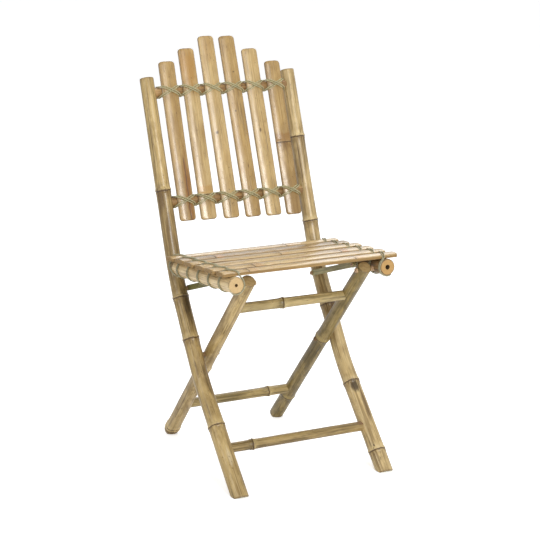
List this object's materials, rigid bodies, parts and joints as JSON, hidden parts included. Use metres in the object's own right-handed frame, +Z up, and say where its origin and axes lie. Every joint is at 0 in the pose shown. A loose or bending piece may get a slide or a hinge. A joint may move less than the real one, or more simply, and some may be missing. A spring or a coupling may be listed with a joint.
{
  "type": "folding chair",
  "caption": "Folding chair of bamboo poles with a split-bamboo slat seat and back lashed with twine; legs cross at pegs and the seat swings up on link bars.",
  "frame": {"origin": "middle of the chair's footprint box, on the floor, with the chair open", "axes": "+Z up; +X to the right of someone who looks at the chair's front; -Y the way the seat faces"},
  "size_m": [0.398, 0.4871, 0.8738],
  "materials": {
    "bamboo_post": "smooth outer skin, olive tan with darker streaks, faint sheen",
    "bamboo_leg": "smooth outer skin, mottled brown, faint sheen",
    "bamboo_cross_pole": "smooth outer skin, tan, faint sheen",
    "bamboo_seat_rail": "smooth outer skin, pinkish tan, sawn ends",
    "bamboo_seat_slat": "split bamboo, golden tan skin with lengthwise streaks, satin varnish",
    "bamboo_back_slat": "split bamboo, golden tan skin with lengthwise streaks, satin varnish",
    "bamboo_link": "flat lath, pale olive",
    "bamboo_peg": "sawn and whittled, matt",
    "twine": "matt grey-green twine"
  },
  "bodies": {
    "back_frame": {"post_left": "bamboo_post", "post_right": "bamboo_post", "back_rail_top": "bamboo_cross_pole", "back_rail_lower": "bamboo_cross_pole", "front_stretcher": "bamboo_cross_pole", "back_slat_1": "bamboo_back_slat", "back_slat_2": "bamboo_back_slat", "back_slat_3": "bamboo_back_slat", "back_slat_4": "bamboo_back_slat", "back_slat_5": "bamboo_back_slat", "back_slat_6": "bamboo_back_slat", "back_lashing_top": "twine", "back_lashing_lower": "twine", "cross_peg_left": "bamboo_peg", "cross_peg_right": "bamboo_peg", "link_peg_left": "bamboo_peg", "link_peg_right": "bamboo_peg"},
    "leg_frame": {"leg_left": "bamboo_leg", "leg_right": "bamboo_leg", "leg_stretcher_upper": "bamboo_cross_pole", "leg_stretcher_rear": "bamboo_cross_pole", "seat_peg_left": "bamboo_peg", "seat_peg_right": "bamboo_peg"},
    "links": {"link_left": "bamboo_link", "link_right": "bamboo_link"},
    "seat": {"seat_rail_left": "bamboo_seat_rail", "seat_rail_right": "bamboo_seat_rail", "seat_slat_1": "bamboo_seat_slat", "seat_slat_2": "bamboo_seat_slat", "seat_slat_3": "bamboo_seat_slat", "seat_slat_4": "bamboo_seat_slat", "seat_slat_5": "bamboo_seat_slat", "seat_slat_6": "bamboo_seat_slat", "seat_lashing_left": "twine", "seat_lashing_right": "twine", "rail_link_peg_left": "bamboo_peg", "rail_link_peg_right": "bamboo_peg", "rail_seat_peg_left": "bamboo_peg", "rail_seat_peg_right": "bamboo_peg"}
  },
  "joints": [
    {"name": "legs_fold", "type": "hinge", "parent": "back_frame", "child": "leg_frame", "pos_m": [0, -0.00991, 0.23963], "axis": [-1, 0, 0], "range_deg": [0, 60]},
    {"name": "links_turn", "type": "hinge", "parent": "back_frame", "child": "links", "pos_m": [0, 0.06515, 0.366], "axis": [-1, 0, 0], "range_deg": [0, 81.4]},
    {"name": "seat_tilt", "type": "hinge", "parent": "links", "child": "seat", "pos_m": [0, -0.11274, 0.42235], "axis": [1, 0, 0], "range_deg": [0, 153.25]}
  ],
  "couplings": [
    {"joint": "links_turn", "follows": "legs_fold", "ratio": 1.3565},
    {"joint": "seat_tilt", "follows": "legs_fold", "ratio": 2.554}
  ]
}
